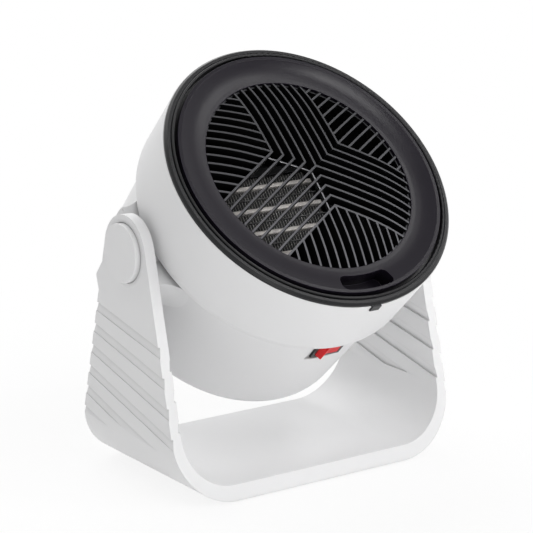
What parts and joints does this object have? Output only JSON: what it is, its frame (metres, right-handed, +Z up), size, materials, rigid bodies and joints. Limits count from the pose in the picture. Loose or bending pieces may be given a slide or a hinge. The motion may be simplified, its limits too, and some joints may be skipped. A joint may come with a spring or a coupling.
{
  "type": "fan heater",
  "caption": "Round electric fan heater: a tilting white drum with a domed black chevron grille and a red rocker switch, in a grooved U-shaped yoke stand.",
  "frame": {"origin": "on the floor, under the middle of the pivot axis", "axes": "+Z up, the front with the grille faces -Y, +X along the pivot axis to the right as seen from the front"},
  "size_m": [0.211, 0.2126, 0.251],
  "materials": {
    "white_plastic": "white satin moulding",
    "black_plastic": "black fine-textured moulding",
    "switch_black": "black smooth moulding",
    "switch_red": "red smooth moulding",
    "black_rubber": "matte rubber",
    "zinc_steel": "zinc-plated steel",
    "heater_aluminium": "bare corrugated sheet",
    "heater_bar": "pale bare bar",
    "plated_brass": "plain blade",
    "sintered_bronze": "oil-soaked bush",
    "iron_core": "lacquered laminations",
    "nylon": "natural nylon",
    "thermostat_shell": "brown moulded shell",
    "fuse_shell": "plain ceramic"
  },
  "bodies": {
    "stand": {"yoke_stand": "white_plastic", "rubber_feet": "black_rubber"},
    "head": {"pivot_caps": "white_plastic", "front_housing": "white_plastic", "rear_housing": "white_plastic", "bezel_ring": "black_plastic", "front_dish": "black_plastic", "front_grille": "black_plastic", "outlet_duct": "black_plastic", "heater_frame": "black_plastic", "cord_inlet": "black_plastic", "fan_shroud": "black_plastic", "switch_body": "switch_black", "pivot_bolts": "zinc_steel", "shroud_screws": "zinc_steel", "housing_screws": "zinc_steel", "motor_screws": "zinc_steel", "motor_can": "zinc_steel", "motor_end_plate": "zinc_steel", "heater_fins": "heater_aluminium", "fin_plates": "heater_aluminium", "heater_strips": "heater_bar", "heater_terminals": "plated_brass", "switch_terminals": "plated_brass", "motor_bushes": "sintered_bronze", "motor_stator": "iron_core", "pivot_washers": "nylon", "thermal_cutout": "thermostat_shell", "thermal_fuse": "fuse_shell"},
    "fan": {"fan_impeller": "black_plastic", "fan_shaft": "zinc_steel", "motor_rotor": "iron_core"},
    "rocker": {"switch_rocker": "switch_red"}
  },
  "joints": [
    {"name": "head_tilt", "type": "hinge", "parent": "stand", "child": "head", "pos_m": [0, 0, 0.14355], "axis": [-1, 0, 0], "range_deg": [-60, 45]},
    {"name": "fan_spin", "type": "hinge", "parent": "head", "child": "fan", "pos_m": [0, 0, 0.14355], "axis": [0, -0.7071, 0.7071], "continuous": true},
    {"name": "rocker_throw", "type": "hinge", "parent": "head", "child": "rocker", "pos_m": [0.004, -0.05586, 0.08387], "axis": [0, 0.7071, -0.7071], "range_deg": [0, 29]}
  ]
}
